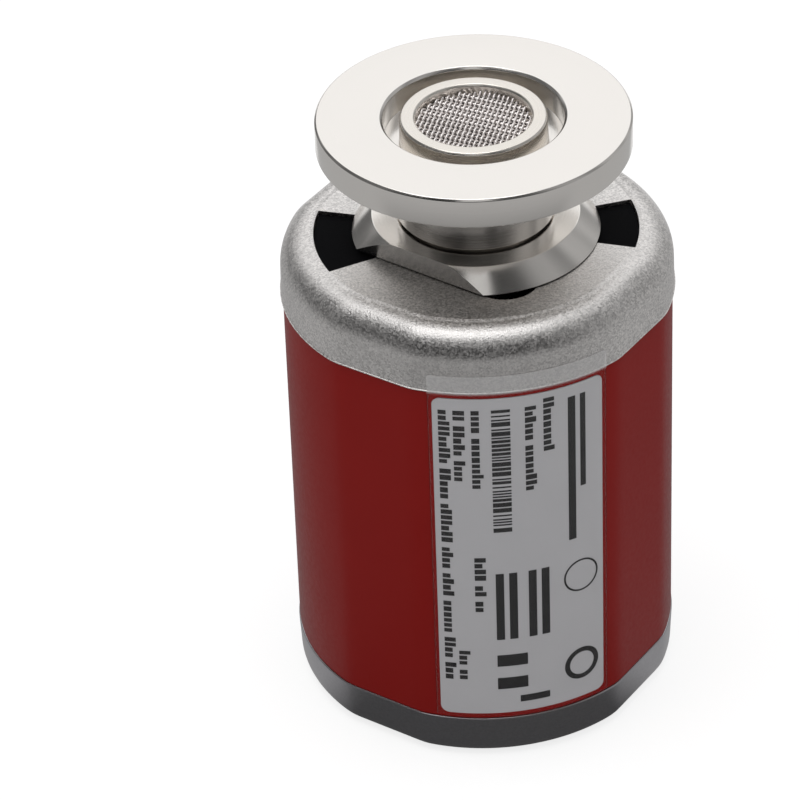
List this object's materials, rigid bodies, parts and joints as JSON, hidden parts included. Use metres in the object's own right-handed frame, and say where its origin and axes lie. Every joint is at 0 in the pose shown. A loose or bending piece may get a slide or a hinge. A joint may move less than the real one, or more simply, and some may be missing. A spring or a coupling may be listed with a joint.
{
  "type": "pirani vacuum gauge",
  "caption": "Small thermal vacuum gauge: turned steel clamp flange with a wire mesh filter on a round red body with flats, cast end caps, a front label and a cable socket in the base.",
  "frame": {"origin": "middle of the underside of the base, on the axis of the flange", "axes": "+Z along the axis from the base to the flange face, -Y towards the label"},
  "size_m": [0.0382, 0.0383, 0.0625],
  "materials": {
    "stainless": "fine turned and polished",
    "holder_steel": "fine turned",
    "mesh_wire": "woven wire",
    "header_metal": "plain",
    "seal_glass": "fused",
    "filament_wire": "drawn",
    "cast_cap": "blasted casting",
    "black_moulding": "moulded",
    "red_paint": "satin paint",
    "label_sheet": "printed film",
    "clear_film": "clear film",
    "cast_base": "satin casting",
    "screw_steel": "plated",
    "circuit_board": "solder mask",
    "socket_plastic": "moulded",
    "contact_gold": "gold plated",
    "chip_plastic": "moulded",
    "can_metal": "drawn can",
    "button_plastic": "moulded",
    "light_lens": "clear lens",
    "light_pipe_clear": "clear moulding"
  },
  "bodies": {
    "gauge": {"flange_tube": "stainless", "filter_holder": "holder_steel", "filter_mesh": "mesh_wire", "sensor_header": "header_metal", "header_glass": "seal_glass", "header_pins": "contact_gold", "sensor_filament": "filament_wire", "lock_nut": "header_metal", "top_cap": "cast_cap", "inner_carrier": "black_moulding", "body_sleeve": "red_paint", "rating_label": "label_sheet", "label_film": "clear_film", "base_cover": "cast_base", "tie_screws": "screw_steel", "base_board": "circuit_board", "sensor_board": "circuit_board", "board_spacers": "header_metal", "board_screws": "screw_steel", "link_connector": "black_moulding", "socket_housing": "socket_plastic", "socket_contacts": "contact_gold", "control_chip": "chip_plastic", "signal_chips": "chip_plastic", "supply_inductor": "chip_plastic", "supply_capacitor": "can_metal", "calibration_switch": "socket_plastic", "status_light": "light_lens", "light_pipe": "light_pipe_clear"},
    "button": {"calibration_button": "button_plastic"}
  },
  "joints": [
    {"name": "button_press", "type": "slide", "parent": "gauge", "child": "button", "axis": [0, 0, 1], "range_m": [0, 0.00025], "stiffness_N_per_m": 6400}
  ]
}
